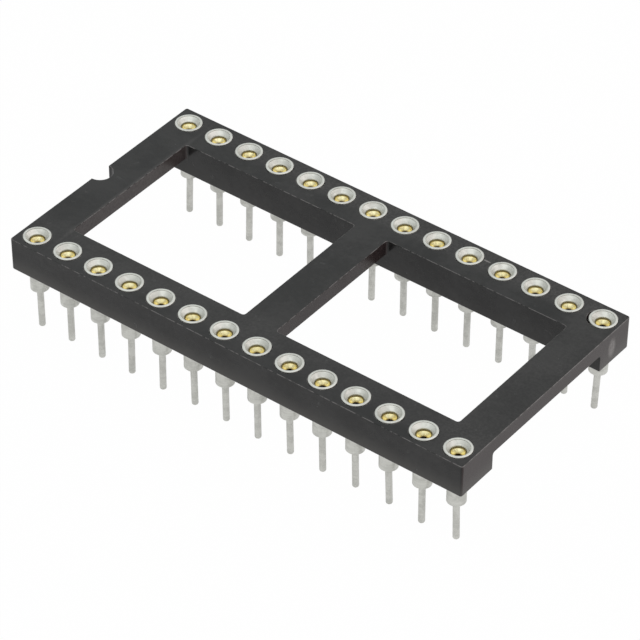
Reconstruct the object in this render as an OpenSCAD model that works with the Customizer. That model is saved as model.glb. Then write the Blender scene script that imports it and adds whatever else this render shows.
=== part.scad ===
// Open-frame socket for a dual in-line integrated circuit.
// A moulded frame carries two rows of turned sleeves, and each sleeve holds a spring clip.
// X runs along the rows with the end notch at its low end, Y runs from the near row to the
// far row, and Z points up. The origin is the middle of the contact pattern on the board,
// where the shoulders of the sleeves stand.

/* [Contact pattern] */
// Number of contacts in each row
contacts_per_row = 14; // [4:1:14]
// Distance between neighbouring contacts of a row
pitch = 2.54; // [2.4:0.01:2.8]
// Distance between the two rows
row_spacing = 15.24; // [7.62:0.01:22.86]

/* [Heights] */
// Board to the underside of the frame
standoff = 1.74; // [1.4:0.01:3]
// Height of the frame along its rails
frame_h = 2.44; // [2:0.01:3.2]
// Height of the sleeve heads above the frame
head_proud = 0.08; // [0.02:0.01:0.3]
// Length of the solder tails below the board's top
tail_l = 3.15; // [2.4:0.01:4.2]

/* [Frame] */
// Contact centre to the outer side of its rail
rail_outside = 1.25; // [1.1:0.01:1.8]
// Contact centre to the inner side of its rail
rail_inside = 1.92; // [1.1:0.01:2.4]
// Last contact centre to the end of its rail
rail_overhang = 1.2; // [1.1:0.01:1.8]
// Width of the cross bars at the two ends
end_bar_w = 2.57; // [1.6:0.01:2.8]
// Width of the cross bar in the middle
centre_bar_w = 2.54; // [1.6:0.01:3.4]
// Thickness of the cross bars
bar_h = 1.06; // [0.6:0.01:1.4]
// Radius of the upright corners of the frame
corner_r = 0.15; // [0.1:0.01:0.5]
// Radius along the lower edges of the rails
bottom_r = 0.12; // [0.05:0.01:0.3]
// Radius in the corners of the windows
window_r = 0.2; // [0.1:0.01:0.6]
// Radius where the underside of a bar meets a rail
web_r = 0.2; // [0.05:0.01:0.4]
// Radius of the notch that marks the first contact's end
notch_r = 0.85; // [0.4:0.01:1.1]
// Mould draft of the outer sides, in degrees
draft = 0.3; // [0.1:0.1:2]

/* [Sleeve] */
// Diameter of the head
head_d = 1.83; // [1.7:0.01:1.94]
// Height of the head
head_h = 0.5; // [0.4:0.01:0.8]
// Broken edge around the top of the head
head_break = 0.05; // [0.02:0.01:0.1]
// Diameter of the funnel at its mouth
mouth_d = 1.51; // [1.3:0.01:1.6]
// Depth of the funnel
funnel_h = 0.32; // [0.2:0.01:0.38]
// Diameter of the bore that takes the clip
bore_d = 1.04; // [0.96:0.01:1.08]
// Solid metal between the drill point and the shoulder
floor_h = 0.6; // [0.4:0.01:0.8]
// Angle of the drill point at the bottom of the bore
drill_angle = 118; // [90:1:140]
// Diameter of the press fit inside the frame
press_d = 1.36; // [1.32:0.01:1.5]
// Diameter of the barrel below the frame
barrel_d = 1.24; // [1.2:0.01:1.3]
// Broken edge around the barrel's shoulder
shoulder_break = 0.06; // [0.02:0.01:0.1]
// Diameter of the solder tail
tail_d = 0.44; // [0.4:0.01:0.6]
// Rounding of the tail's tip
tip_r = 0.14; // [0.05:0.01:0.18]

/* [Clip] */
// Thickness of the clip's wall
clip_wall = 0.07; // [0.05:0.01:0.1]
// Thickness of the wall at the finger tips
tip_wall = 0.045; // [0.03:0.005:0.045]
// Bottom of the funnel to the clip's upper edge
clip_drop = 0.04; // [0.02:0.01:0.3]
// Height of the clip's closed collar
collar_h = 0.15; // [0.1:0.01:0.8]
// Height of the shoulder that closes inward below the collar
bend_h = 0.18; // [0.12:0.01:0.6]
// Opening below that shoulder
neck_d = 0.56; // [0.52:0.01:0.7]
// Opening between the finger tips, which a leg spreads
throat_d = 0.42; // [0.3:0.01:0.5]
// Height of the parallel land at the finger tips
land_h = 0.3; // [0.1:0.01:0.5]
// Width of the slots between the fingers
slot_w = 0.08; // [0.06:0.01:0.16]
// Length of the clip, shorter than the bore so that a leg can reach past the finger tips
clip_l = 2.05; // [1.8:0.01:2.3]
// Turn from one clip to the next, in degrees
clip_turn = 37; // [0:1:90]

/* [Fits] */
// Gap all round a pressed-in piece, sleeve or clip
press_gap = 0.01; // [0.005:0.005:0.03]
// Gap around a head in its seat
head_gap = 0.03; // [0.02:0.01:0.12]

/* [Hidden] */
$fn = 64;
FINGERS = 4;
// How far one volume runs into or past another, so that unions and cuts are clean
LAP = 0.5;

contact_count = 2 * contacts_per_row;
row_half = (contacts_per_row - 1) * pitch / 2;
frame_top = standoff + frame_h;
head_top = frame_top + head_proud;
seat_z = head_top - head_h;

rail_half_l = row_half + rail_overhang;
rail_outer_y = row_spacing / 2 + rail_outside;
rail_inner_y = row_spacing / 2 - rail_inside;
bar_z = frame_top - bar_h;

funnel_z = head_top - funnel_h;
drill_tip_h = bore_d / 2 / tan(drill_angle / 2);
bore_floor_z = floor_h + drill_tip_h;

clip_r = bore_d / 2 - press_gap;
collar_top_z = funnel_z - clip_drop;
collar_low_z = collar_top_z - collar_h;
neck_z = collar_low_z - bend_h;
finger_low_z = collar_top_z - clip_l;
land_top_z = finger_low_z + land_h;

function two_digits(n) = n < 10 ? str("0", n) : str(n);
function sleeve_name(i) = str("sleeve_", two_digits(i));
function clip_name(i) = str("clip_", two_digits(i));

// Contacts are numbered along the near row from the notch, then back along the far row
function in_near_row(i) = i <= contacts_per_row;
function contact_x(i) = in_near_row(i)
    ? (i - 1) * pitch - row_half
    : row_half - (i - contacts_per_row - 1) * pitch;
function contact_y(i) = in_near_row(i) ? -row_spacing / 2 : row_spacing / 2;

// Puts its children at a contact's place on the board
module at_contact(i) {
    translate([contact_x(i), contact_y(i), 0]) children();
}

// Section of a moulded block from -half_w to half_w: its sides lean in towards the bottom, and
// both lower corners are rounded
module moulded_section(half_w) {
    low_half_w = half_w - frame_h * tan(draft);
    run = bottom_r / tan(45 + draft / 2);
    polygon([
        [-half_w, frame_h],
        [-low_half_w - run * sin(draft), run * cos(draft)],
        [-low_half_w + run, 0],
        [low_half_w - run, 0],
        [low_half_w + run * sin(draft), run * cos(draft)],
        [half_w, frame_h]
    ]);
    for (side = [-1, 1])
        translate([side * (low_half_w - run), bottom_r]) circle(bottom_r);
}

// What a rounded corner that points to side_x, side_y leaves out
module corner_waste(side_x, side_y, r) {
    size = r + LAP;
    difference() {
        translate([side_x > 0 ? 0 : -size, side_y > 0 ? 0 : -size]) square(size);
        circle(r);
    }
}

// The whole frame's outer form, with drafted sides and rounded corners and lower edges
module outer_block() {
    translate([0, 0, standoff])
        difference() {
            intersection() {
                rotate([90, 0, 90])
                    linear_extrude(2 * (rail_half_l + LAP), center = true)
                        moulded_section(rail_outer_y);
                rotate([90, 0, 0])
                    linear_extrude(2 * (rail_outer_y + LAP), center = true)
                        moulded_section(rail_half_l);
            }
            for (side_x = [-1, 1])
                for (side_y = [-1, 1])
                    translate([
                        side_x * (rail_half_l - corner_r),
                        side_y * (rail_outer_y - corner_r),
                        -LAP
                    ])
                        linear_extrude(frame_h + 2 * LAP) corner_waste(side_x, side_y, corner_r);
        }
}

// Section of the channel that runs below the bars between the rails, with fillets along its
// roof, and with the rails' lower inner edges rounded
module channel_section() {
    roof_half_w = rail_inner_y - web_r;
    translate([-rail_inner_y, standoff - LAP])
        square([2 * rail_inner_y, bar_z - web_r - standoff + LAP]);
    translate([-roof_half_w, standoff]) square([2 * roof_half_w, bar_z - standoff]);
    for (side = [-1, 1]) {
        translate([side * roof_half_w, bar_z - web_r]) circle(web_r);
        translate([side * (rail_inner_y + bottom_r), standoff + bottom_r])
            corner_waste(-side, -1, bottom_r);
    }
}

// A window between two bars, from x0 to x1, with rounded corners
module window(x0, x1) {
    half_w = (x1 - x0) / 2;
    translate([(x0 + x1) / 2, 0, bar_z - 2 * web_r])
        linear_extrude(bar_h + 2 * web_r + LAP)
            difference() {
                square([2 * half_w, 2 * rail_inner_y], center = true);
                for (side_x = [-1, 1])
                    for (side_y = [-1, 1])
                        translate([
                            side_x * (half_w - window_r),
                            side_y * (rail_inner_y - window_r)
                        ])
                            corner_waste(side_x, side_y, window_r);
            }
}

module frame_blank() {
    difference() {
        outer_block();
        rotate([90, 0, 90])
            linear_extrude(2 * (rail_half_l + LAP), center = true) channel_section();
        window(-rail_half_l + end_bar_w, -centre_bar_w / 2);
        window(centre_bar_w / 2, rail_half_l - end_bar_w);
    }
}

// Hole for one sleeve: a press fit right through and a seat for the head
module sleeve_hole() {
    translate([0, 0, standoff - LAP]) cylinder(h = frame_h + 2 * LAP, r = press_d / 2 + press_gap);
    translate([0, 0, seat_z]) cylinder(h = head_h, r = head_d / 2 + head_gap);
}

module housing() {
    color([0.2, 0.2, 0.2])
        difference() {
            frame_blank();
            for (i = [1 : contact_count]) at_contact(i) sleeve_hole();
            translate([-rail_half_l, 0, bar_z - LAP]) cylinder(h = bar_h + 2 * LAP, r = notch_r);
        }
}

// Half section of the turned sleeve, without its bore
module sleeve_section() {
    polygon([
        [0, seat_z],
        [head_d / 2, seat_z],
        [head_d / 2, head_top - head_break],
        [head_d / 2 - head_break, head_top],
        [0, head_top]
    ]);
    translate([0, standoff]) square([press_d / 2, seat_z - standoff]);
    polygon([
        [0, 0],
        [barrel_d / 2 - shoulder_break, 0],
        [barrel_d / 2, shoulder_break],
        [barrel_d / 2, standoff],
        [0, standoff]
    ]);
    translate([0, tip_r - tail_l]) square([tail_d / 2, tail_l - tip_r]);
    translate([0, -tail_l]) square([tail_d / 2 - tip_r, tip_r]);
    intersection() {
        translate([tail_d / 2 - tip_r, tip_r - tail_l]) circle(tip_r);
        translate([0, -tail_l]) square([tail_d / 2, tail_l]);
    }
}

// Half section of the bore: funnel, straight bore and drill point
module bore_section() {
    polygon([
        [0, floor_h],
        [bore_d / 2, bore_floor_z],
        [bore_d / 2, funnel_z],
        [mouth_d / 2, head_top],
        [mouth_d / 2, head_top + LAP],
        [0, head_top + LAP]
    ]);
}

module sleeve(i) {
    color([0.78, 0.79, 0.76])
        at_contact(i)
            rotate_extrude()
                difference() {
                    sleeve_section();
                    bore_section();
                }
}

// Half section of the clip: a straight collar, a shoulder that bends inward, then fingers that
// close gently towards the throat and end in a short parallel land, thinned towards the tips
module clip_section() {
    neck_r = neck_d / 2;
    throat_r = throat_d / 2;
    polygon([
        [clip_r - clip_wall, collar_low_z],
        [clip_r - clip_wall, collar_top_z],
        [clip_r, collar_top_z],
        [clip_r, collar_low_z],
        [neck_r + clip_wall, neck_z],
        [throat_r + clip_wall, land_top_z],
        [throat_r + tip_wall, finger_low_z],
        [throat_r, finger_low_z],
        [throat_r, land_top_z],
        [neck_r, neck_z]
    ]);
}

module clip(i) {
    color([0.83, 0.68, 0.3])
        at_contact(i)
            rotate([0, 0, i * clip_turn])
                difference() {
                    rotate_extrude() clip_section();
                    for (k = [0 : FINGERS / 2 - 1])
                        rotate([0, 0, k * 360 / FINGERS])
                            translate([-clip_r - LAP, -slot_w / 2, finger_low_z - LAP])
                                cube([
                                    2 * (clip_r + LAP),
                                    slot_w,
                                    neck_z - finger_low_z + LAP
                                ]);
                }
}

housing();
for (i = [1 : contact_count]) {
    sleeve(i);
    clip(i);
}
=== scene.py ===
"""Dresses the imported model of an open-frame socket for a dual in-line integrated circuit.

The moulded frame, the turned sleeves and the spring clips are modelled here in full, each in the
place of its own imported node, and get their finishes. A pale floor, soft lamps and the camera
complete the scene. Lengths are in metres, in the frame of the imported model.
"""
import logging
import math
from abc import ABC, abstractmethod
from collections.abc import Callable, Iterator, Sequence
from contextlib import contextmanager
from dataclasses import dataclass
from enum import Enum, IntEnum
from itertools import pairwise

import bmesh
import bpy
from mathutils import Matrix, Vector


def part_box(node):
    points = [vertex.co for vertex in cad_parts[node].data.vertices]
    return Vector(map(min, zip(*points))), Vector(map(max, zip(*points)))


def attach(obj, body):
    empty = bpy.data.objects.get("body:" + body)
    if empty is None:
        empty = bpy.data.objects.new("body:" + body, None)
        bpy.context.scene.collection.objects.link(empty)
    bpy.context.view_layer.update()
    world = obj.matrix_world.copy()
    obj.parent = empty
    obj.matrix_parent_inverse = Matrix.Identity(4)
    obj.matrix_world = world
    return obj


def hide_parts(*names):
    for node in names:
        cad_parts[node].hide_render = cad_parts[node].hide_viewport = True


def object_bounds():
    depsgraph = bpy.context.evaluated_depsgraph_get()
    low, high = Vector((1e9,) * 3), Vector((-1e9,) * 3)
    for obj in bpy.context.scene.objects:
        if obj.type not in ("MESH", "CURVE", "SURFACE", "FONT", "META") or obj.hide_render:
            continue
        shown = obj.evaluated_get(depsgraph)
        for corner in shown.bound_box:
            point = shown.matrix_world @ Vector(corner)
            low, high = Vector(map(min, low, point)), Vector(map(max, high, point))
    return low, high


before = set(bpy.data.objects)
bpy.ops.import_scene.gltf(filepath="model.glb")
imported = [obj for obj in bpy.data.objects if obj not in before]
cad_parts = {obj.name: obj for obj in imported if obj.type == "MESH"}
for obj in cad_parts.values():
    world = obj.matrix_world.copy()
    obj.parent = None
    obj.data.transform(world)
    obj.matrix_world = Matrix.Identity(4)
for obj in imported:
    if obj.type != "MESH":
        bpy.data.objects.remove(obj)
CAD_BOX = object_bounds()

MM = 0.001
BODY = "root"
# How far a cutter runs past what it cuts
LAP = 0.5 * MM
# Two places nearer to each other than this are the same
NEAR = 0.001 * MM
# Number of sides of a turned ring
RING_SIDES = 64
# A face looks sideways where its normal rises or falls by less than this
SIDEWAYS = 0.2

Place = tuple[float, float, float]
Colour = tuple[float, float, float]
log = logging.getLogger("ic_socket")

# How far each solder tail leans towards +X and +Y, in degrees, by its contact
LEANS: dict[int, tuple[float, float]] = {
    1: (0, 0.65), 2: (-0.8, 1.1), 3: (0.6, -0.2), 4: (0, -0.65), 5: (0.3, -0.6), 6: (0.2, 1.0),
    7: (0.1, 0.95), 8: (1.2, -0.5), 9: (0.3, 1.3), 10: (1.1, 0), 11: (-0.1, 1.9), 12: (0, 2.8),
    13: (0.6, -0.2), 14: (0, 2.2), 17: (0.2, -0.4), 18: (0.8, -1.3), 19: (0.8, -1.3),
    20: (0.8, -1.3), 21: (0.6, -0.7), 22: (-0.1, -0.6), 25: (0.5, -1.3), 26: (-0.8, -0.4),
    27: (-0.9, 0.2), 28: (-1.1, -0.65),
}
# How far a contact stands askew in the frame, its foot towards -X, in degrees
TILTS: dict[int, float] = {15: 2.0}


class Axis(IntEnum):
    """Place of each coordinate in a vector."""

    X = 0
    Y = 1
    Z = 2


class Element(Enum):
    """What is selected in edit mode: the name of its list, and of its select mode."""

    VERTS = ("verts", "VERT")
    EDGES = ("edges", "EDGE")
    FACES = ("faces", "FACE")


class Merge(Enum):
    """What is done with a second solid, by the name of its boolean operation."""

    JOIN = "UNION"
    CUT = "DIFFERENCE"


class Slot(Enum):
    """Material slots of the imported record."""

    PLASTIC = "housing_plastic"
    TIN = "tinned_sleeve"
    GOLD = "gold_clip"


def deselect_all() -> None:
    """Leaves no object selected, because an operator acts on all that is."""
    bpy.ops.object.select_all(action="DESELECT")


def make_active(piece: bpy.types.Object) -> None:
    """Leaves only this piece selected, and active."""
    deselect_all()
    piece.select_set(True)
    bpy.context.view_layer.objects.active = piece


@contextmanager
def editing(piece: bpy.types.Object, element: Element = Element.VERTS) -> Iterator[None]:
    """Puts a piece in edit mode for the length of a with block.

    Args:
        piece: The piece to edit.
        element: What the operators of the block select.
    """
    make_active(piece)
    bpy.ops.object.mode_set(mode="EDIT")
    bpy.ops.mesh.select_mode(type=element.value[1])
    try:
        yield
    finally:
        bpy.ops.object.mode_set(mode="OBJECT")


def pick(piece: bpy.types.Object, element: Element, wanted: Callable[..., bool]) -> None:
    """Selects the elements of a mesh in edit mode that pass a test, and nothing else.

    Args:
        piece: The piece in edit mode.
        element: Which elements are tested.
        wanted: The test, given one element.
    """
    bpy.ops.mesh.select_mode(type=element.value[1])
    bpy.ops.mesh.select_all(action="DESELECT")
    mesh = bmesh.from_edit_mesh(piece.data)
    for item in getattr(mesh, element.value[0]):
        if wanted(item):
            item.select_set(True)
    mesh.select_flush_mode()
    bmesh.update_edit_mesh(piece.data)


def runs_along(edge: bmesh.types.BMEdge, axis: Axis, share: float = 0.999) -> bool:
    """Whether at least this share of an edge's length runs along an axis."""
    run = edge.verts[1].co - edge.verts[0].co
    return abs(run[axis]) > share * run.length


def is_upright(edge: bmesh.types.BMEdge) -> bool:
    """Whether an edge stands upright, or nearly so, as those of a drafted side do."""
    return runs_along(edge, Axis.Z, share=0.9)


def lies_at(edge: bmesh.types.BMEdge, axis: Axis, value: float) -> bool:
    """Whether both ends of an edge have this coordinate on an axis."""
    return all(abs(v.co[axis] - value) < NEAR for v in edge.verts)


def round_edges(radius: float, segments: int, material: int = -1) -> None:
    """Rounds the selected edges.

    Args:
        radius: Radius of the rounding.
        segments: Faces around it.
        material: Place of its finish in the piece's list, or -1 for the neighbours' finish.
    """
    bpy.ops.mesh.bevel(
        offset_type="OFFSET", offset=radius, segments=segments, profile=0.5,
        affect="EDGES", clamp_overlap=False, material=material,
    )


def cuboid(name: str, low: Sequence[float], high: Sequence[float]) -> bpy.types.Object:
    """Adds a block, with its size and place in its mesh.

    Args:
        name: Name of the block.
        low: Its lowest corner.
        high: Its highest corner.

    Returns:
        The block.
    """
    bpy.ops.mesh.primitive_cube_add(size=1)
    piece = bpy.context.object
    piece.name = name
    size = [b - a for a, b in zip(low, high)]
    middle = [(a + b) / 2 for a, b in zip(low, high)]
    with editing(piece):
        bpy.ops.mesh.select_all(action="SELECT")
        bpy.ops.transform.resize(value=size, center_override=(0, 0, 0))
        bpy.ops.transform.translate(value=middle)
    return piece


def apply_modifier(piece: bpy.types.Object, kind: str, **settings: object) -> None:
    """Adds a modifier with its settings and applies it.

    Args:
        piece: The piece that it changes.
        kind: The modifier's type.
        settings: Its settings by name.
    """
    make_active(piece)
    modifier = piece.modifiers.new(kind.lower(), kind)
    for name, value in settings.items():
        setattr(modifier, name, value)
    bpy.ops.object.modifier_apply(modifier=modifier.name)


def combine(piece: bpy.types.Object, other: bpy.types.Object, merge: Merge) -> None:
    """Joins another solid to a piece, or cuts it out, and removes the other.

    Args:
        piece: The piece that stays.
        other: The solid that is joined or cut out.
        merge: Which of the two is done.
    """
    apply_modifier(piece, "BOOLEAN", operation=merge.value, object=other, solver="EXACT")
    bpy.data.objects.remove(other)


def join(pieces: Sequence[bpy.types.Object]) -> bpy.types.Object:
    """Joins several pieces into the first one's object.

    Args:
        pieces: The pieces to join.

    Returns:
        The joined piece.
    """
    make_active(pieces[0])
    for piece in pieces:
        piece.select_set(True)
    bpy.ops.object.join()
    return pieces[0]


def arc(centre: tuple[float, float], radius: float, start: float, end: float,
        steps: int) -> list[tuple[float, float]]:
    """Points along an arc of a half section.

    Args:
        centre: Centre of the arc, as radius and height.
        radius: Radius of the arc.
        start: Angle of its first point, in degrees from the outward direction.
        end: Angle of its last point.
        steps: Number of chords.

    Returns:
        The points, first and last included.
    """
    angles = [math.radians(start + (end - start) * i / steps) for i in range(steps + 1)]
    return [(centre[0] + radius * math.cos(a), centre[1] + radius * math.sin(a)) for a in angles]


def turned(name: str, section: Sequence[tuple[float, float]],
           hollow: bool = False) -> bpy.types.Object:
    """Turns a half section about the upright axis, ring by ring.

    A circle is added at the first point and its edges are extruded to each next one. A solid piece
    is closed at both ends on the axis, and a hollow one by a last band back to its first ring.

    Args:
        name: Name of the piece.
        section: Points of the half section, as radius and height, none on the axis.
        hollow: Whether the section is a closed outline away from the axis.

    Returns:
        The turned piece.
    """
    first = section[0]
    bpy.ops.mesh.primitive_circle_add(vertices=RING_SIDES, radius=first[0])
    piece = bpy.context.object
    piece.name = name
    with editing(piece, Element.EDGES):
        bpy.ops.mesh.select_all(action="SELECT")
        bpy.ops.transform.translate(value=(0, 0, first[1]))
        for (radius, height), (next_radius, next_height) in pairwise(section):
            bpy.ops.mesh.extrude_region_move(
                TRANSFORM_OT_translate={"value": (0, 0, next_height - height)})
            ratio = next_radius / radius
            bpy.ops.transform.resize(value=(ratio, ratio, 1), center_override=(0, 0, next_height))
        if hollow:
            pick(piece, Element.EDGES, lambda e: e.is_boundary)
            bpy.ops.mesh.bridge_edge_loops()
        else:
            close_on_axis()
            pick(piece, Element.EDGES, lambda e: e.is_boundary)
            close_on_axis()
        bpy.ops.mesh.select_all(action="SELECT")
        bpy.ops.mesh.normals_make_consistent(inside=False)
    return piece


def close_on_axis() -> None:
    """Closes the selected ring with a fan of faces to a point on its axis."""
    bpy.ops.mesh.extrude_region_move()
    bpy.ops.mesh.merge(type="CENTER")


def shade_smooth(piece: bpy.types.Object, sharp_from: float) -> None:
    """Shades a piece smooth, apart from its sharp edges.

    Args:
        piece: The piece.
        sharp_from: Angle from which an edge stays sharp, in degrees.
    """
    make_active(piece)
    bpy.ops.object.shade_smooth_by_angle(angle=math.radians(sharp_from))


@dataclass(frozen=True)
class Contact:
    """One contact, whose place is read from its packed sleeve.

    Its tail may lean towards +X and +Y, and all of it may tilt about its seat in the frame, so
    that its lower end goes towards -X. Both are angles in degrees.
    """

    index: int
    lean: tuple[float, float] = (0, 0)
    tilt: float = 0
    tilt_z: float = 3.3 * MM

    @property
    def sleeve_node(self) -> str:
        """Name of its sleeve's node."""
        return f"sleeve_{self.index:02d}"

    @property
    def clip_node(self) -> str:
        """Name of its clip's node."""
        return f"clip_{self.index:02d}"

    @property
    def place(self) -> Place:
        """Where its axis meets the board."""
        low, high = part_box(self.sleeve_node)
        return ((low[0] + high[0]) / 2, (low[1] + high[1]) / 2, 0)

    def put(self, master: bpy.types.Object, name: str, turn: float = 0) -> bpy.types.Object:
        """Copies a piece that stands at the origin to this contact, with a mesh of its own.

        Args:
            master: The piece to copy.
            name: Name of the copy.
            turn: Angle about its axis, in radians.

        Returns:
            The copy, with its object at the origin and its place in its mesh.
        """
        piece = bpy.data.objects.new(name, master.data.copy())
        bpy.context.collection.objects.link(piece)
        pivot = Matrix.Translation((0, 0, self.tilt_z))
        tilted = pivot @ Matrix.Rotation(math.radians(self.tilt), 4, "Y") @ pivot.inverted()
        piece.data.transform(
            Matrix.Translation(self.place) @ tilted @ Matrix.Rotation(turn, 4, "Z"))
        return piece


class Graph:
    """A node tree that is being wired, with short ways to add and join nodes."""

    def __init__(self, tree: bpy.types.NodeTree) -> None:
        """Takes an empty tree."""
        self.tree = tree

    @classmethod
    def of(cls, owner: bpy.types.Material | bpy.types.World) -> "Graph":
        """Empties the tree of a material or of the world.

        Args:
            owner: The material or the world.

        Returns:
            Its graph.
        """
        owner.use_nodes = True
        owner.node_tree.nodes.clear()
        return cls(owner.node_tree)

    def add(self, kind: str, values: dict[str, object] | None = None,
            **settings: object) -> bpy.types.Node:
        """Adds a node.

        Args:
            kind: Its type, without the ShaderNode in front.
            values: Sockets to join, and default values, by input name.
            settings: Its own settings by name.

        Returns:
            The node.
        """
        node = self.tree.nodes.new(f"ShaderNode{kind}")
        for name, value in settings.items():
            setattr(node, name, value)
        for name, value in (values or {}).items():
            self.feed(node.inputs[name], value)
        return node

    def feed(self, target: bpy.types.NodeSocket, value: object) -> None:
        """Joins a socket to another, or sets its default value.

        Args:
            target: The input.
            value: The output that it is joined to, or its value.
        """
        if isinstance(value, bpy.types.NodeSocket):
            self.tree.links.new(value, target)
        else:
            target.default_value = value

    def calculate(self, kind: str, *values: object, **settings: object) -> bpy.types.Node:
        """Adds a node whose inputs are fed in their order.

        Args:
            kind: Math or VectorMath.
            values: Its inputs in order, sockets or values.
            settings: Its own settings by name.

        Returns:
            The node.
        """
        node = self.add(kind, **settings)
        for target, value in zip(node.inputs, values):
            self.feed(target, value)
        return node

    def math(self, operation: str, *values: object, clamp: bool = False) -> bpy.types.NodeSocket:
        """Adds a Math node with these inputs, and gives its output."""
        return self.calculate("Math", *values, operation=operation, use_clamp=clamp).outputs[0]

    def vector(self, operation: str, *values: object) -> bpy.types.Node:
        """Adds a Vector Math node with these inputs."""
        return self.calculate("VectorMath", *values, operation=operation)

    def blend(self, first: object, second: object, share: float) -> bpy.types.NodeSocket:
        """Blends two values.

        Args:
            first: The first value or socket.
            second: The second value or socket.
            share: Share of the second.

        Returns:
            The blended value.
        """
        return self.math("MULTIPLY_ADD", second, share, self.math("MULTIPLY", first, 1 - share))

    def noise(self, vector: bpy.types.NodeSocket, scale: object, detail: float,
              roughness: float) -> bpy.types.NodeSocket:
        """Adds a noise texture.

        Args:
            vector: Where it is read.
            scale: Its scale.
            detail: Its octaves.
            roughness: How strong the fine octaves are.

        Returns:
            Its value.
        """
        values = {"Vector": vector, "Scale": scale, "Detail": detail, "Roughness": roughness}
        return self.add("TexNoise", values).outputs["Fac"]

    def remap(self, value: object, low: object, high: object, to_low: object = 0.0,
              to_high: object = 1.0) -> bpy.types.NodeSocket:
        """Maps a range of values smoothly to another.

        Args:
            value: The value.
            low: Start of its range.
            high: End of its range.
            to_low: What the start becomes.
            to_high: What the end becomes.

        Returns:
            The mapped value.
        """
        values = {"Value": value, "From Min": low, "From Max": high, "To Min": to_low,
                  "To Max": to_high}
        return self.add("MapRange", values, interpolation_type="SMOOTHSTEP").outputs["Result"]

    def mix(self, factor: object, first: object, second: object) -> bpy.types.NodeSocket:
        """Mixes two colours.

        Args:
            factor: Share of the second.
            first: The first colour or socket.
            second: The second colour or socket.

        Returns:
            The mixed colour.
        """
        node = self.add("Mix", data_type="RGBA")
        for name, value in (("Factor_Float", factor), ("A_Color", first), ("B_Color", second)):
            socket = next(s for s in node.inputs if s.identifier == name)
            self.feed(socket, (*value, 1) if isinstance(value, tuple) else value)
        return next(s for s in node.outputs if s.identifier == "Result_Color")


class Effect:
    """A shader node group: an effect that more than one finish uses."""

    def __init__(self, name: str, inputs: dict[str, str], outputs: dict[str, str]) -> None:
        """Makes the group's sockets.

        Args:
            name: Name of the group.
            inputs: Socket types of its inputs, by name.
            outputs: Socket types of its outputs, by name.
        """
        self.tree = bpy.data.node_groups.new(name, "ShaderNodeTree")
        for in_out, sockets in (("INPUT", inputs), ("OUTPUT", outputs)):
            for socket, kind in sockets.items():
                self.tree.interface.new_socket(
                    socket, in_out=in_out, socket_type=f"NodeSocket{kind}")
        self.graph = Graph(self.tree)
        self.given = self.tree.nodes.new("NodeGroupInput").outputs
        self.result = self.tree.nodes.new("NodeGroupOutput").inputs

    def place_in(self, graph: Graph, values: dict[str, object]) -> bpy.types.bpy_prop_collection:
        """Places the group in a material.

        Args:
            graph: The material's graph.
            values: Sockets and default values by input name.

        Returns:
            The outputs of the placed group.
        """
        node = graph.add("Group", node_tree=self.tree)
        for name, value in values.items():
            graph.feed(node.inputs[name], value)
        return node.outputs


def mould_skin() -> Effect:
    """Makes the skin of a moulding: cloudy tone, fine grain and faint unevenness.

    Returns:
        The effect, with a Tone and a Height from 0 to 1.
    """
    effect = Effect("mould_skin", {"Vector": "Vector", "Grain": "Float"},
                    {"Tone": "Float", "Height": "Float"})
    graph, given = effect.graph, effect.given
    clouds = graph.noise(given["Vector"], scale=0.32, detail=3, roughness=0.55)
    speckle = graph.noise(given["Vector"], scale=2.6, detail=2, roughness=0.6)
    grain = graph.noise(given["Vector"], scale=given["Grain"], detail=2, roughness=0.6)
    waves = graph.noise(given["Vector"], scale=0.8, detail=1, roughness=0.5)
    graph.feed(effect.result["Tone"], graph.blend(clouds, speckle, share=0.3))
    graph.feed(effect.result["Height"], graph.blend(waves, grain, share=0.35))
    return effect


def rubbed_patches() -> Effect:
    """Makes patches where handling has rubbed a surface.

    Returns:
        The effect, with a Mask that is 1 where the surface is rubbed.
    """
    effect = Effect("rubbed_patches", {"Vector": "Vector", "Scale": "Float", "Cover": "Float"},
                    {"Mask": "Float"})
    graph, given = effect.graph, effect.given
    level = graph.noise(given["Vector"], scale=given["Scale"], detail=3, roughness=0.65)
    # Levels of the noise above which the surface is rubbed, with no cover and with full cover
    no_cover, full_cover, softness = 0.75, 0.25, 0.1
    threshold = graph.math("MULTIPLY_ADD", given["Cover"], full_cover - no_cover, no_cover)
    low = graph.math("SUBTRACT", threshold, softness)
    high = graph.math("ADD", threshold, softness)
    graph.feed(effect.result["Mask"], graph.remap(level, low, high))
    return effect


def turning_marks() -> Effect:
    """Makes the rings that a lathe tool leaves around an upright axis.

    Returns:
        The effect, with a Tone and a Height from 0 to 1.
    """
    effect = Effect("turning_marks", {"Vector": "Vector", "Rings": "Float"},
                    {"Tone": "Float", "Height": "Float"})
    graph, given = effect.graph, effect.given
    parts = graph.add("SeparateXYZ", {"Vector": given["Vector"]}).outputs
    # Coarse sideways and fine in height, so that the noise reads as rings
    sideways = 0.3
    scales = {"X": sideways, "Y": sideways, "Z": given["Rings"]}
    scaled = {axis: graph.math("MULTIPLY", parts[axis], scale) for axis, scale in scales.items()}
    stretched = graph.add("CombineXYZ", scaled).outputs[0]
    rings = graph.noise(stretched, scale=1.0, detail=3, roughness=0.6)
    graph.feed(effect.result["Height"], rings)
    graph.feed(effect.result["Tone"], graph.remap(rings, low=0.3, high=0.7))
    return effect


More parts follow.
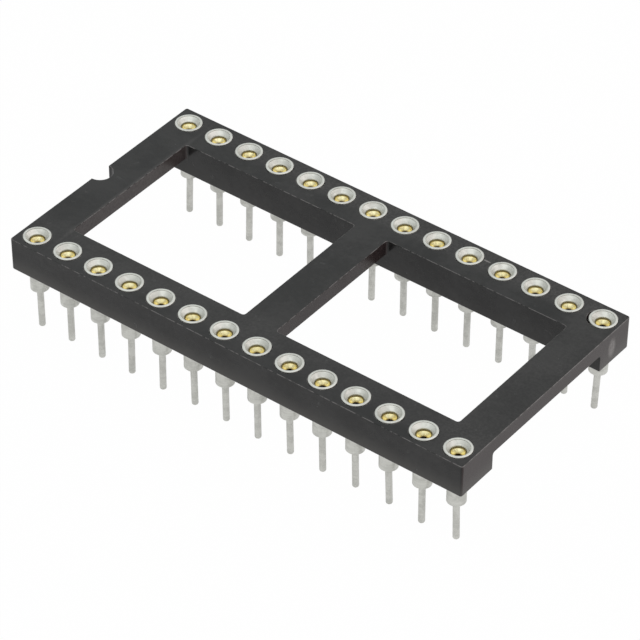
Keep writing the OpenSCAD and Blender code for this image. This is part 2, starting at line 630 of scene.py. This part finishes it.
def local_mark() -> Effect:
    """Makes one mark at a place, broken up by noise.

    Returns:
        The effect, with a Mask that is 1 inside the mark.
    """
    effect = Effect("local_mark", {"Vector": "Vector", "Centre": "Vector", "Reach": "Vector",
                                   "Broken": "Float"}, {"Mask": "Float"})
    graph, given = effect.graph, effect.given
    offset = graph.vector("SUBTRACT", given["Vector"], given["Centre"]).outputs["Vector"]
    share = graph.vector("DIVIDE", offset, given["Reach"]).outputs["Vector"]
    distance = graph.vector("LENGTH", share).outputs["Value"]
    inside = graph.remap(distance, low=0.4, high=1.0, to_low=1.0, to_high=0.0)
    cracks = graph.noise(given["Vector"], scale=5.0, detail=3, roughness=0.7)
    breaks = graph.math("MULTIPLY", given["Broken"], graph.remap(cracks, low=0.4, high=0.6))
    kept = graph.math("SUBTRACT", 1.0, breaks)
    graph.feed(effect.result["Mask"], graph.math("MULTIPLY", inside, kept, clamp=True))
    return effect


@dataclass(frozen=True)
class Effects:
    """The shared effects, built once."""

    skin: Effect
    rubbed: Effect
    rings: Effect
    mark: Effect

    @classmethod
    def build(cls) -> "Effects":
        """Builds every effect."""
        return cls(mould_skin(), rubbed_patches(), turning_marks(), local_mark())


@dataclass(frozen=True, kw_only=True)
class Finish(ABC):
    """What every finish has: a name, worn patches and a fine relief."""

    name: str
    patch_scale: float
    cover: float
    relief: float

    def material(self, effects: Effects) -> bpy.types.Material:
        """Makes the material.

        Args:
            effects: The shared effects.

        Returns:
            The material.
        """
        material = bpy.data.materials.new(self.name)
        graph = Graph.of(material)
        shader = graph.add("BsdfPrincipled")
        graph.add("OutputMaterial", {"Surface": shader.outputs["BSDF"]})
        # In millimetres, so that every pattern's size reads as a real one
        place = graph.add("Mapping", {"Vector": graph.add("TexCoord").outputs["Object"],
                                      "Scale": (1 / MM, 1 / MM, 1 / MM)}).outputs["Vector"]
        worn = effects.rubbed.place_in(
            graph, {"Vector": place, "Scale": self.patch_scale, "Cover": self.cover})["Mask"]
        height = self.dress(effects, graph, shader, place, worn)
        bump = graph.add("Bump", {"Height": height, "Distance": self.relief, "Strength": 1.0})
        graph.feed(shader.inputs["Normal"], bump.outputs["Normal"])
        return material

    @abstractmethod
    def dress(self, effects: Effects, graph: Graph, shader: bpy.types.Node,
              place: bpy.types.NodeSocket, worn: bpy.types.NodeSocket) -> bpy.types.NodeSocket:
        """Gives the shader its colour and its gloss.

        Args:
            effects: The shared effects.
            graph: The material's graph.
            shader: Its shader.
            place: Object coordinates in millimetres.
            worn: A mask that is 1 in the worn patches.

        Returns:
            The height of the relief, from 0 to 1.
        """


@dataclass(frozen=True)
class Mark:
    """A pale place of the frame, in millimetres, which is a scuff, a lighter patch, or painted
    light.

    Its strength is the share of the pale colour, and broken says how much noise breaks it up.
    """

    centre: Place
    reach: Place
    strength: float
    broken: float


FACE_MARKS = (
    # A scuff on the right end, and a scratch on top of the far rail
    Mark((17.71, 6.95, 2.95), (0.5, 0.5, 0.95), 0.45, 0.45),
    Mark((7.47, 7.89, 4.18), (0.42, 0.08, 0.3), 0.6, 0.2),
    # Lighter, broken patches on the tops of the far rail, the right bar, the near rail and the
    # middle bar
    Mark((3.0, 8.0, 4.18), (26.0, 1.5, 0.3), 0.075, 0.7),
    Mark((16.4, -1.0, 4.18), (3.0, 16.0, 0.3), 0.042, 0.5),
    Mark((0.0, -6.5, 4.18), (36.0, 2.0, 0.3), 0.038, 0.5),
    Mark((0.0, 0.0, 4.18), (3.0, 14.0, 0.3), 0.015, 0.5),
    # Painted light on the side of the left bar, which faces the key lamp
    Mark((-15.14, 0.0, 3.65), (0.3, 11.0, 1.3), 0.1, 0.4),
)
# The top edge of the right bar is rubbed along its length
EDGE_MARKS = (Mark((17.69, 0.0, 4.17), (0.4, 24.0, 0.4), 0.22, 0.35),)


@dataclass(frozen=True, kw_only=True)
class MouldedPlastic(Finish):
    """Dull black thermoplastic, with rubbed patches, single marks and painted light.

    The painted light is paler low down and warmer on the ends. Its bounds in Z, and those of the
    outer sides in Y, are in millimetres.
    """

    rubbed: Colour
    marks: tuple[Mark, ...]
    dark: Colour = (0.009, 0.0087, 0.0089)
    light: Colour = (0.025, 0.0243, 0.0243)
    # Pale colour of the marks: scuffs, lighter patches, and painted light on the left bar's side
    scuff_and_painted_light: Colour = (0.42, 0.4, 0.39)
    smooth: float = 0.17
    rough: float = 0.27
    rubbed_rougher: float = 0.1
    ior: float = 1.4
    grain: float = 7.0
    relief: float = 1.2e-6
    # Painted light: a pale lift of the colour towards the bottom edge
    painted_low_light: Colour = (0.08, 0.075, 0.07)
    painted_low_light_z: tuple[float, float] = (1.74, 3.6)
    painted_low_light_power: float = 2.0
    painted_low_light_inside: float = 0.2
    painted_low_light_sides: float = 0.66
    painted_low_light_ends: float = 0.72
    sides_y: tuple[float, float] = (8.6, 8.8)
    ends_facing: tuple[float, float] = (0.4, 0.9)
    # Painted light: a warm tint on the faces towards the warm key lamp
    warm_light: Colour = (0.13, 0.055, 0.055)
    warm_light_share: float = 0.14

    def painted_light(self, graph: Graph, place: bpy.types.NodeSocket,
             plain: bpy.types.NodeSocket) -> bpy.types.NodeSocket:
        """Adds painted light: paler near the lower edge, and a warmer tone on the end faces.

        Args:
            graph: The material's graph.
            place: Object coordinates in millimetres.
            plain: The colour without them.

        Returns:
            The colour with them.
        """
        facing = graph.add("SeparateXYZ", {"Vector": graph.add("TexCoord").outputs["Normal"]})
        ends = graph.remap(facing.outputs["X"], *self.ends_facing)
        parts = graph.add("SeparateXYZ", {"Vector": place}).outputs
        sides = graph.remap(graph.math("ABSOLUTE", parts["Y"]), *self.sides_y)
        outer = graph.math("MAXIMUM", graph.math("MULTIPLY", sides, self.painted_low_light_sides),
                           graph.math("MULTIPLY", ends, self.painted_low_light_ends))
        strength = graph.math("MAXIMUM", outer, self.painted_low_light_inside)
        # Painted light: paler towards the bottom edge, strongest on the outer sides and the ends
        low = graph.remap(parts["Z"], *self.painted_low_light_z, to_low=1.0, to_high=0.0)
        share = graph.math("MULTIPLY", graph.math("POWER", low, self.painted_low_light_power), strength)
        # Painted light: the faces towards +X are tinted warm, as the warm key lamp lights them
        warm_lit = graph.mix(graph.math("MULTIPLY", ends, self.warm_light_share), plain, self.warm_light)
        return graph.mix(share, warm_lit, self.painted_low_light)

    def dress(self, effects: Effects, graph: Graph, shader: bpy.types.Node,
              place: bpy.types.NodeSocket, worn: bpy.types.NodeSocket) -> bpy.types.NodeSocket:
        """Gives the shader its colour and its gloss, as Finish says."""
        skin = effects.skin.place_in(graph, {"Vector": place, "Grain": self.grain})
        clouds = graph.remap(skin["Tone"], low=0.35, high=0.65)
        plain = graph.mix(clouds, self.dark, self.light)
        colour = graph.mix(worn, self.painted_light(graph, place, plain), self.rubbed)
        for mark in self.marks:
            values = {"Vector": place, "Centre": mark.centre, "Reach": mark.reach,
                      "Broken": mark.broken}
            shape = effects.mark.place_in(graph, values)["Mask"]
            colour = graph.mix(graph.math("MULTIPLY", shape, mark.strength), colour, self.scuff_and_painted_light)
        graph.feed(shader.inputs["Base Color"], colour)
        uneven = graph.remap(skin["Tone"], low=0.3, high=0.7,
                             to_low=self.smooth, to_high=self.rough)
        graph.feed(shader.inputs["Roughness"],
                   graph.math("MULTIPLY_ADD", worn, self.rubbed_rougher, uneven))
        shader.inputs["IOR"].default_value = self.ior
        return skin["Height"]


@dataclass(frozen=True, kw_only=True)
class TinPlate(Finish):
    """Satin tin over turned brass."""

    name: str = "tin_plate"
    bright: Colour = (0.715, 0.715, 0.675)
    dull: Colour = (0.585, 0.585, 0.55)
    smooth: float = 0.36
    rough: float = 0.5
    rings: float = 12.0
    relief: float = 1.5e-6
    patch_scale: float = 1.6
    cover: float = 0.5

    def dress(self, effects: Effects, graph: Graph, shader: bpy.types.Node,
              place: bpy.types.NodeSocket, worn: bpy.types.NodeSocket) -> bpy.types.NodeSocket:
        """Gives the shader its colour and its gloss, as Finish says."""
        rings = effects.rings.place_in(graph, {"Vector": place, "Rings": self.rings})
        tone = graph.blend(worn, rings["Tone"], share=0.5)
        graph.feed(shader.inputs["Base Color"], graph.mix(tone, self.dull, self.bright))
        graph.feed(shader.inputs["Roughness"], graph.remap(
            worn, low=0.0, high=1.0, to_low=self.rough, to_high=self.smooth))
        shader.inputs["Metallic"].default_value = 1.0
        return rings["Height"]


@dataclass(frozen=True, kw_only=True)
class GoldPlate(Finish):
    """Satin gold over a formed copper alloy, with painted shade: dark at its rim and brown down
    between the fingers.

    The heights between which the painted shade sets in are in millimetres.
    """

    name: str = "gold_plate"
    bright: Colour = (1.0, 0.93, 0.58)
    dull: Colour = (0.9, 0.79, 0.43)
    # Painted shade: a dark band at the collar's rim, under the funnel's lip
    rim: Colour = (0.16, 0.13, 0.06)
    rim_shade_z: tuple[float, float] = (3.84, 3.88)
    # Painted shade: brown down between the fingers, deep in the bore
    deep_shade: Colour = (0.3, 0.21, 0.08)
    deep_shade_z: tuple[float, float] = (3.54, 3.66)
    smooth: float = 0.22
    rough: float = 0.36
    grain: float = 14.0
    relief: float = 1.5e-6
    patch_scale: float = 3.0
    cover: float = 0.5

    def dress(self, effects: Effects, graph: Graph, shader: bpy.types.Node,
              place: bpy.types.NodeSocket, worn: bpy.types.NodeSocket) -> bpy.types.NodeSocket:
        """Gives the shader its colour and its gloss, as Finish says."""
        skin = effects.skin.place_in(graph, {"Vector": place, "Grain": self.grain})
        height = graph.add("SeparateXYZ", {"Vector": place}).outputs["Z"]
        # Painted shade, at the rim and deep in the bore
        in_rim_shade = graph.remap(height, *self.rim_shade_z)
        in_deep_shade = graph.remap(height, *self.deep_shade_z, to_low=1.0, to_high=0.0)
        plate = graph.mix(worn, self.dull, self.bright)
        plate = graph.mix(in_deep_shade, plate, self.deep_shade)
        graph.feed(shader.inputs["Base Color"], graph.mix(in_rim_shade, plate, self.rim))
        graph.feed(shader.inputs["Roughness"], graph.remap(
            skin["Tone"], low=0.3, high=0.7, to_low=self.smooth, to_high=self.rough))
        shader.inputs["Metallic"].default_value = 1.0
        return skin["Height"]


@dataclass
class Housing:
    """The moulded frame: two rails joined by three cross bars, with a seat for each sleeve."""

    contacts: Sequence[Contact]
    node: str = "housing"
    rail_inner_y: float = 5.7 * MM
    end_bar_w: float = 2.57 * MM
    centre_bar_w: float = 2.54 * MM
    bar_h: float = 1.06 * MM
    corner_r: float = 0.15 * MM
    bottom_r: float = 0.12 * MM
    window_r: float = 0.2 * MM
    web_r: float = 0.2 * MM
    notch_r: float = 0.85 * MM
    draft: float = math.radians(0.3)
    hole_r: float = 0.69 * MM
    seat_r: float = 0.935 * MM
    seat_h: float = 0.42 * MM
    seat_wear: Place = (-0.09 * MM, -0.02 * MM, 0)
    edge_break: float = 0.035 * MM
    broken_from: float = math.radians(30)

    def __post_init__(self) -> None:
        """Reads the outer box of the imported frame."""
        self.low, self.high = (Vector(corner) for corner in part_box(self.node))
        self.bar_z = self.high.z - self.bar_h

    def block(self) -> bpy.types.Object:
        """Makes the outer block, whose sides lean in a little towards the bottom.

        Returns:
            The block.
        """
        piece = cuboid("moulded_frame", self.low, self.high)
        lean = (self.high.z - self.low.z) * math.tan(self.draft)
        ratios = (1 - lean / self.high.x, 1 - lean / self.high.y, 1)
        with editing(piece):
            pick(piece, Element.VERTS, lambda v: abs(v.co.z - self.low.z) < NEAR)
            bpy.ops.transform.resize(value=ratios, center_override=(0, 0, self.low.z))
            pick(piece, Element.EDGES, is_upright)
            round_edges(self.corner_r, segments=6)
        return piece

    def channel(self) -> bpy.types.Object:
        """Makes the cutter of the channel below the bars, which leaves a rail on each side.

        Returns:
            The cutter.
        """
        cutter = cuboid("channel", (self.low.x - LAP, -self.rail_inner_y, self.low.z - LAP),
                        (self.high.x + LAP, self.rail_inner_y, self.bar_z))
        with editing(cutter):
            pick(cutter, Element.EDGES,
                 lambda e: lies_at(e, Axis.Z, self.bar_z) and runs_along(e, Axis.X))
            round_edges(self.web_r, segments=5)
        return cutter

    def window(self, side: int) -> bpy.types.Object:
        """Makes the cutter of one window.

        Args:
            side: Sign of its X.

        Returns:
            The cutter, which starts inside the channel.
        """
        ends_x = sorted((side * self.centre_bar_w / 2, side * (self.high.x - self.end_bar_w)))
        cutter = cuboid("window", (ends_x[0], -self.rail_inner_y, self.bar_z - 2 * self.web_r),
                        (ends_x[1], self.rail_inner_y, self.high.z + LAP))
        with editing(cutter):
            pick(cutter, Element.EDGES, is_upright)
            round_edges(self.window_r, segments=6)
        return cutter

    def notch(self) -> bpy.types.Object:
        """Makes the cutter of the end notch that marks the first contact.

        Returns:
            The cutter.
        """
        section = [(self.notch_r, self.bar_z - LAP), (self.notch_r, self.high.z + LAP)]
        cutter = turned("notch", section)
        cutter.data.transform(Matrix.Translation((self.low.x, 0, 0)))
        return cutter

    def sleeve_holes(self) -> bpy.types.Object:
        """Makes the cutters of all the sleeve holes.

        Returns:
            The cutters, joined into one.
        """
        seat_z = self.high.z - self.seat_h
        section = [(self.hole_r, self.low.z - LAP), (self.hole_r, seat_z),
                   (self.seat_r, seat_z), (self.seat_r, self.high.z + LAP)]
        master = turned("sleeve_hole", section)
        cutters = [contact.put(master, "hole") for contact in self.contacts]
        bpy.data.objects.remove(master)
        return join(cutters)

    def worn_seat(self, contact: Contact) -> bpy.types.Object:
        """Makes the cutter that widens the seat of a tilted contact to one side.

        Args:
            contact: The tilted contact.

        Returns:
            The cutter.
        """
        section = [(self.seat_r, self.high.z - self.seat_h), (self.seat_r, self.high.z + LAP)]
        cutter = turned("worn_seat", section)
        place = Vector(contact.place) + Vector(self.seat_wear)
        cutter.data.transform(Matrix.Translation(place))
        return cutter

    def build(self, plain: bpy.types.Material, edge: bpy.types.Material) -> bpy.types.Object:
        """Builds and dresses the frame.

        Args:
            plain: Finish of its faces.
            edge: Finish of its broken edges.

        Returns:
            The frame.
        """
        body = self.block()
        combine(body, self.channel(), Merge.CUT)
        with editing(body):
            pick(body, Element.EDGES, lambda e: lies_at(e, Axis.Z, self.low.z))
            round_edges(self.bottom_r, segments=6)
        for side in (-1, 1):
            combine(body, self.window(side), Merge.CUT)
        combine(body, self.notch(), Merge.CUT)
        combine(body, self.sleeve_holes(), Merge.CUT)
        for contact in self.contacts:
            if contact.tilt:
                combine(body, self.worn_seat(contact), Merge.CUT)
        body.data.materials.clear()
        body.data.materials.append(plain)
        body.data.materials.append(edge)
        with editing(body):
            pick(body, Element.EDGES, lambda e: (
                lies_at(e, Axis.Z, self.high.z) and e.calc_face_angle(0) > self.broken_from))
            round_edges(self.edge_break, segments=2, material=1)
        shade_smooth(body, sharp_from=50)
        apply_modifier(body, "WEIGHTED_NORMAL", mode="FACE_AREA", keep_sharp=True)
        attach(body, BODY)
        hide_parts(self.node)
        return body


@dataclass
class Sleeves:
    """The turned sleeves: head with a funnel, press-fit neck, barrel and solder tail."""

    contacts: Sequence[Contact]
    head_h: float = 0.5 * MM
    head_round: float = 0.05 * MM
    mouth_r: float = 0.755 * MM
    mouth_round: float = 0.012 * MM
    mouth_step: float = 0.045 * MM
    funnel_h: float = 0.32 * MM
    bore_r: float = 0.52 * MM
    bore_floor_z: float = 0.912 * MM
    drill_point_z: float = 0.6 * MM
    drill_point_share: float = 0.02
    press_r: float = 0.68 * MM
    press_low_z: float = 1.74 * MM
    barrel_r: float = 0.62 * MM
    shoulder_break: float = 0.06 * MM
    tail_r: float = 0.22 * MM
    root_r: float = 0.05 * MM
    tip_r: float = 0.14 * MM
    ridge: float = 0.004 * MM
    ridges: int = 6

    def __post_init__(self) -> None:
        """Reads the heights and the head's radius from the first packed sleeve."""
        low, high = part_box(self.contacts[0].sleeve_node)
        self.tip_z, self.head_top = low[2], high[2]
        self.head_r = (high[0] - low[0]) / 2

    def outside(self) -> list[tuple[float, float]]:
        """Gives the outer half section.

        Returns:
            Its points, from the tail's tip up to the head's rim.
        """
        tip = arc((self.tail_r - self.tip_r, self.tip_z + self.tip_r), self.tip_r,
                  start=-90, end=0, steps=6)
        root = arc((self.tail_r + self.root_r, -self.root_r), self.root_r,
                   start=180, end=90, steps=4)
        seat_z = self.head_top - self.head_h
        rim = arc((self.head_r - self.head_round, self.head_top - self.head_round),
                  self.head_round, start=0, end=90, steps=4)
        shoulder = [
            (self.barrel_r - self.shoulder_break, 0),
            (self.barrel_r, self.shoulder_break),
            (self.barrel_r, self.press_low_z),
            (self.press_r, self.press_low_z),
            (self.press_r, seat_z),
            (self.head_r, seat_z),
        ]
        return tip + root + shoulder + rim

    def inside(self) -> list[tuple[float, float]]:
        """Gives the inner half section.

        Returns:
            Its points, from the funnel's mouth down to the drill point.
        """
        depth, run = self.funnel_h - self.mouth_step, self.mouth_r - self.bore_r
        slope = math.atan2(depth, run)
        mouth = [(self.mouth_r + self.mouth_round, self.head_top),
                 (self.mouth_r, self.head_top - self.mouth_round),
                 (self.mouth_r, self.head_top - self.mouth_step)]
        cone = []
        for i in range(1, 2 * self.ridges):
            share = i / (2 * self.ridges)
            lift = self.ridge if i % 2 else 0
            cone.append((self.mouth_r - share * run - lift * math.sin(slope),
                         mouth[-1][1] - share * depth + lift * math.cos(slope)))
        bore = [(self.bore_r, self.head_top - self.funnel_h),
                (self.bore_r, self.bore_floor_z),
                (self.drill_point_share * self.bore_r, self.drill_point_z)]
        return mouth + cone + bore

    def bend_tail(self, piece: bpy.types.Object, contact: Contact) -> None:
        """Bends a solder tail a little at its root, as its contact leans.

        Args:
            piece: The sleeve.
            contact: Its contact.
        """
        towards_x, towards_y = contact.lean
        with editing(piece):
            pick(piece, Element.VERTS, lambda v: v.co.z < -2 * self.root_r)
            for axis, angle in (("Y", towards_x), ("X", -towards_y)):
                bpy.ops.transform.rotate(value=math.radians(angle), orient_axis=axis,
                                         center_override=contact.place)
            lowest = min(v.co.z for v in bmesh.from_edit_mesh(piece.data).verts)
            bpy.ops.transform.translate(value=(0, 0, max(self.tip_z - lowest, 0)))

    def in_mouth_step(self, face: bmesh.types.BMFace) -> bool:
        """Tests whether a face belongs to the small upright step at the funnel's mouth.

        Args:
            face: A face of a sleeve at the origin.

        Returns:
            Whether it does.
        """
        middle = face.calc_center_median()
        return (abs(face.normal.z) < SIDEWAYS and middle.xy.length < self.mouth_r + NEAR
                and middle.z > self.head_top - self.mouth_step)

    def build(self, finish: bpy.types.Material, line: bpy.types.Material
              ) -> list[bpy.types.Object]:
        """Builds and dresses every sleeve.

        Args:
            finish: Their finish.
            line: Darker finish, painted shade, of the small step at the funnel's mouth.

        Returns:
            The sleeves.
        """
        master = turned("sleeve_master", self.outside() + self.inside())
        shade_smooth(master, sharp_from=35)
        master.data.materials.append(finish)
        master.data.materials.append(line)
        # Painted shade: the small upright step at the funnel's mouth gets the darker tin
        with editing(master):
            pick(master, Element.FACES, self.in_mouth_step)
            master.active_material_index = 1
            bpy.ops.object.material_slot_assign()
        pieces = []
        for contact in self.contacts:
            piece = contact.put(master, f"turned_{contact.sleeve_node}")
            if any(contact.lean):
                self.bend_tail(piece, contact)
            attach(piece, BODY)
            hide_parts(contact.sleeve_node)
            pieces.append(piece)
        bpy.data.objects.remove(master)
        return pieces


@dataclass
class Clips:
    """The spring clips: a collar, and four fingers that bend inward below it."""

    contacts: Sequence[Contact]
    wall: float = 0.07 * MM
    tip_wall: float = 0.045 * MM
    collar_h: float = 0.1 * MM
    lead_in: float = 0.03 * MM
    bend_h: float = 0.24 * MM
    neck_r: float = 0.225 * MM
    throat_r: float = 0.21 * MM
    land_h: float = 0.3 * MM
    slot_w: float = 0.05 * MM
    edge_round: float = 0.008 * MM
    turn_step: float = math.radians(37)

    def __post_init__(self) -> None:
        """Reads the heights and the outer radius from the first packed clip."""
        low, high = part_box(self.contacts[0].clip_node)
        self.tip_z, self.top_z = low[2], high[2]
        self.outer_r = (high[0] - low[0]) / 2

    def section(self) -> list[tuple[float, float]]:
        """Gives the closed half section.

        Returns:
            Its points: down the outside, round the tips and up the inside.
        """
        inner_r = self.outer_r - self.wall
        collar_low_z = self.top_z - self.collar_h
        neck_z = collar_low_z - self.bend_h
        land_top_z = self.tip_z + self.land_h
        lip = arc((inner_r + self.lead_in, self.top_z - self.lead_in), self.lead_in,
                  start=180, end=90, steps=4)
        return [
            (self.outer_r, self.top_z),
            (self.outer_r, collar_low_z),
            (self.neck_r + self.wall, neck_z),
            (self.throat_r + self.wall, land_top_z),
            (self.throat_r + self.tip_wall, self.tip_z),
            (self.throat_r, self.tip_z),
            (self.throat_r, land_top_z),
            (self.neck_r, neck_z),
            (inner_r, collar_low_z),
        ] + lip

    def slots(self) -> bpy.types.Object:
        """Makes the cutter of the slots between the fingers.

        Returns:
            Two crossed blades, joined into one.
        """
        reach = self.outer_r + LAP
        half = self.slot_w / 2
        low_z, high_z = self.tip_z - LAP, self.top_z - self.collar_h - self.bend_h
        blades = [cuboid("blade_x", (-reach, -half, low_z), (reach, half, high_z)),
                  cuboid("blade_y", (-half, -reach, low_z), (half, reach, high_z))]
        combine(blades[0], blades[1], Merge.JOIN)
        return blades[0]

    def build(self, finish: bpy.types.Material) -> list[bpy.types.Object]:
        """Builds and dresses every clip.

        Args:
            finish: Their finish.

        Returns:
            The clips.
        """
        master = turned("clip_master", self.section(), hollow=True)
        combine(master, self.slots(), Merge.CUT)
        apply_modifier(master, "BEVEL", width=self.edge_round, segments=2, limit_method="ANGLE",
                       angle_limit=math.radians(40), use_clamp_overlap=False)
        shade_smooth(master, sharp_from=50)
        master.data.materials.clear()
        master.data.materials.append(finish)
        pieces = []
        for contact in self.contacts:
            piece = contact.put(master, f"spring_{contact.clip_node}",
                                contact.index * self.turn_step)
            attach(piece, BODY)
            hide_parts(contact.clip_node)
            pieces.append(piece)
        bpy.data.objects.remove(master)
        return pieces


@dataclass(frozen=True)
class Lamp:
    """A soft square lamp that points at the object."""

    name: str
    place: Place
    width: float
    level: float
    colour: Colour

    def build(self) -> None:
        """Adds the lamp, at a power that gives its level on a surface that faces it."""
        place = Vector(self.place)
        bpy.ops.object.light_add(type="AREA", location=place)
        lamp = bpy.context.object
        lamp.name = self.name
        lamp.rotation_euler = place.to_track_quat("Z", "Y").to_euler()
        lamp.data.shape = "SQUARE"
        lamp.data.size = self.width
        lamp.data.energy = self.level * (math.pi * place.length) ** 2
        lamp.data.color = self.colour


@dataclass(frozen=True)
class Studio:
    """The floor, the surroundings, the lamps and the camera."""

    floor_z: float
    floor_size: float = 2.0
    floor_grey: float = 0.85
    shown_white: float = 0.99
    mirrored_white: float = 0.6
    ambient: float = 0.5
    mirrored: float = 0.82
    sky_tint: Colour = (0.965, 1.0, 0.99)
    camera_place: Place = (0.10994036, -0.14366546, 0.15036601)
    camera_right: Place = (0.79250416, 0.60984712, 0.00486305)
    camera_up: Place = (-0.3917208, 0.50290222, 0.77048308)
    camera_back: Place = (0.46743125, -0.612516, 0.6374419)
    lens: float = 208.698
    sensor_width: float = 36
    clip_start: float = 0.01
    lamps: tuple[Lamp, ...] = (
        Lamp("lamp_key", (0.3, 0.2, 0.34), width=0.9, level=0.38, colour=(1.0, 0.83, 0.81)),
        Lamp("lamp_above", (-0.08, 0.0, 0.45), width=0.8, level=0.12, colour=(0.92, 0.97, 1.0)),
        Lamp("lamp_front", (0.1, -0.32, 0.25), width=0.4, level=0.1, colour=(1.0, 0.99, 0.97)),
    )

    def floor(self) -> None:
        """Adds the pale floor, which shows near white and keeps the object's shadow."""
        bpy.ops.mesh.primitive_plane_add(size=self.floor_size, location=(0, 0, self.floor_z))
        floor = bpy.context.object
        floor.name = "floor"
        material = bpy.data.materials.new("floor_white")
        graph = Graph.of(material)
        pale = (self.floor_grey, self.floor_grey, self.floor_grey, 1)
        matt = graph.add("BsdfDiffuse", {"Color": pale})
        glow = graph.add("Emission", {"Color": (1, 1, 1, 1), "Strength": 1.0})
        rays = graph.add("LightPath").outputs
        seen = graph.math("MAXIMUM", rays["Is Camera Ray"], rays["Is Transmission Ray"])
        seen = graph.math("MULTIPLY", seen, self.shown_white)
        seen = graph.math("MULTIPLY_ADD", rays["Is Glossy Ray"], self.mirrored_white, seen)
        mixed = graph.add("MixShader", {"Fac": seen})
        graph.feed(mixed.inputs[1], matt.outputs[0])
        graph.feed(mixed.inputs[2], glow.outputs[0])
        graph.add("OutputMaterial", {"Surface": mixed.outputs[0]})
        floor.data.materials.append(material)

    def surroundings(self) -> None:
        """Sets the world: white to the camera, and a plain level of light on the object."""
        world = bpy.data.worlds.new("surroundings")
        bpy.context.scene.world = world
        graph = Graph.of(world)
        rays = graph.add("LightPath").outputs
        level = graph.remap(rays["Is Glossy Ray"], low=0.0, high=1.0,
                            to_low=self.ambient, to_high=self.mirrored)
        level = graph.math("MAXIMUM", level, rays["Is Camera Ray"])
        level = graph.math("MAXIMUM", level, rays["Is Transmission Ray"])
        tint = graph.mix(rays["Is Camera Ray"], self.sky_tint, (1.0, 1.0, 1.0))
        sky = graph.add("Background", {"Color": tint, "Strength": level})
        graph.add("OutputWorld", {"Surface": sky.outputs[0]})

    def camera(self) -> None:
        """Adds the camera at the photograph's place and angle."""
        axes = Matrix((self.camera_right, self.camera_up, self.camera_back)).transposed()
        data = bpy.data.cameras.new("camera")
        data.sensor_fit = "HORIZONTAL"
        data.sensor_width = self.sensor_width
        data.lens = self.lens
        data.clip_start = self.clip_start
        camera = bpy.data.objects.new("camera", data)
        bpy.context.collection.objects.link(camera)
        camera.matrix_world = Matrix.Translation(self.camera_place) @ axes.to_4x4()
        bpy.context.scene.camera = camera

    def build(self) -> None:
        """Builds the whole studio."""
        self.floor()
        self.surroundings()
        for lamp in self.lamps:
            lamp.build()
        self.camera()
        bpy.context.scene.view_settings.view_transform = "Standard"


def report(pieces: Sequence[bpy.types.Object]) -> None:
    """Logs each piece with the number of its faces."""
    for piece in pieces:
        log.info("%s: %d faces", piece.name, len(piece.data.polygons))


def main() -> None:
    """Builds the pieces in order, dresses them and sets the studio around them."""
    logging.basicConfig(level=logging.INFO, format="%(name)s: %(message)s")
    sleeves = sum(name.startswith("sleeve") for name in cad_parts)
    contacts = [Contact(i + 1, LEANS.get(i + 1, (0, 0)), TILTS.get(i + 1, 0))
                for i in range(sleeves)]
    effects = Effects.build()
    plain = MouldedPlastic(name="black_plastic", rubbed=(0.05, 0.05, 0.05), cover=0.08,
                           patch_scale=1.2, marks=FACE_MARKS)
    edge = MouldedPlastic(name="black_plastic_edge", rubbed=(0.17, 0.16, 0.16), cover=0.55,
                          patch_scale=2.2, marks=EDGE_MARKS)
    tin = TinPlate()
    # Painted shade: a darker tin for the small upright step at the funnel's mouth
    step = TinPlate(name="tin_plate_step_shade", bright=(0.3, 0.3, 0.28), dull=(0.2, 0.2, 0.19))
    gold = GoldPlate()
    report([Housing(contacts).build(plain.material(effects), edge.material(effects))])
    report(Sleeves(contacts).build(tin.material(effects), step.material(effects)))
    report(Clips(contacts).build(gold.material(effects)))
    Studio(floor_z=CAD_BOX[0][2]).build()


if __name__ == "__main__":
    main()
